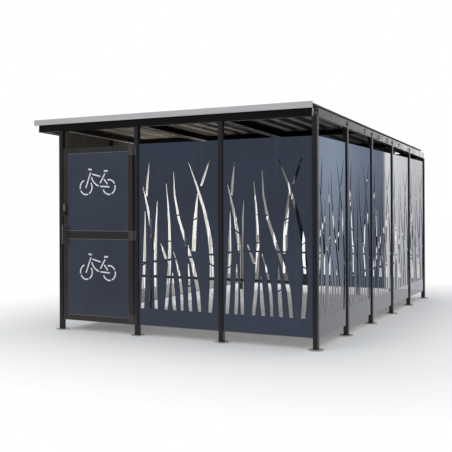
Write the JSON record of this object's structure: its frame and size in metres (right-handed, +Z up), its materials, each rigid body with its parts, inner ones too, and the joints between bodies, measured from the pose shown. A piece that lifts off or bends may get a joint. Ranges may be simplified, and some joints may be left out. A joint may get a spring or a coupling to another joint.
{
  "type": "bike shelter",
  "caption": "Lockable single-pitch bike shelter with square posts on round foot plates, folded steel walls cut with reeds, a hinged framed door and a ribbed sheet roof.",
  "frame": {"origin": "centre of the front right corner post's foot plate, on the ground", "axes": "+X to the right along the front wall, +Y from the front wall to the back wall, +Z up"},
  "size_m": [3.4415, 4.8172, 2.3557],
  "materials": {
    "frame_paint": "satin powder coat",
    "panel_paint": "satin powder coat",
    "girt_paint": "satin powder coat",
    "foot_plate_zinc": "galvanised",
    "roof_sheet_zinc": "galvanised",
    "fascia_grey": "satin coil coat",
    "gutter_paint": "satin coil coat",
    "hinge_paint": "satin powder coat",
    "lock_case": "satin enamel",
    "handle_paint": "satin powder coat"
  },
  "bodies": {
    "frame": {"front_posts": "frame_paint", "right_posts": "frame_paint", "back_posts": "frame_paint", "left_posts": "frame_paint", "front_foot_plates": "foot_plate_zinc", "right_foot_plates": "foot_plate_zinc", "back_foot_plates": "foot_plate_zinc", "left_foot_plates": "foot_plate_zinc", "front_panel_1": "panel_paint", "front_panel_2": "panel_paint", "right_panel_1": "panel_paint", "right_panel_2": "panel_paint", "right_panel_3": "panel_paint", "right_panel_4": "panel_paint", "right_panel_5": "panel_paint", "back_panel_1": "panel_paint", "back_panel_2": "panel_paint", "back_panel_3": "panel_paint", "left_panel_1": "panel_paint", "left_panel_2": "panel_paint", "left_panel_3": "panel_paint", "left_panel_4": "panel_paint", "left_panel_5": "panel_paint", "front_girts": "girt_paint", "right_girts": "girt_paint", "back_girts": "girt_paint", "left_girts": "girt_paint", "hinge_post_halves": "hinge_paint", "front_beam": "frame_paint", "back_beam": "frame_paint", "right_rail": "frame_paint", "left_rail": "frame_paint", "inner_rafters": "frame_paint", "edge_rafter": "frame_paint", "roof_purlins": "frame_paint", "roof_sheets": "roof_sheet_zinc", "front_fascia": "fascia_grey", "rear_gutter": "gutter_paint"},
    "door": {"door_stiles": "frame_paint", "door_rails": "frame_paint", "door_upper_panel": "panel_paint", "door_lower_panel": "panel_paint", "hinge_leaf_halves": "hinge_paint", "code_lock": "lock_case", "pull_handle": "handle_paint"}
  },
  "joints": [
    {"name": "door_hinge", "type": "hinge", "parent": "frame", "child": "door", "pos_m": [-2.035, -0.033, 0.115], "axis": [0, 0, 1], "range_deg": [0, 160]}
  ]
}
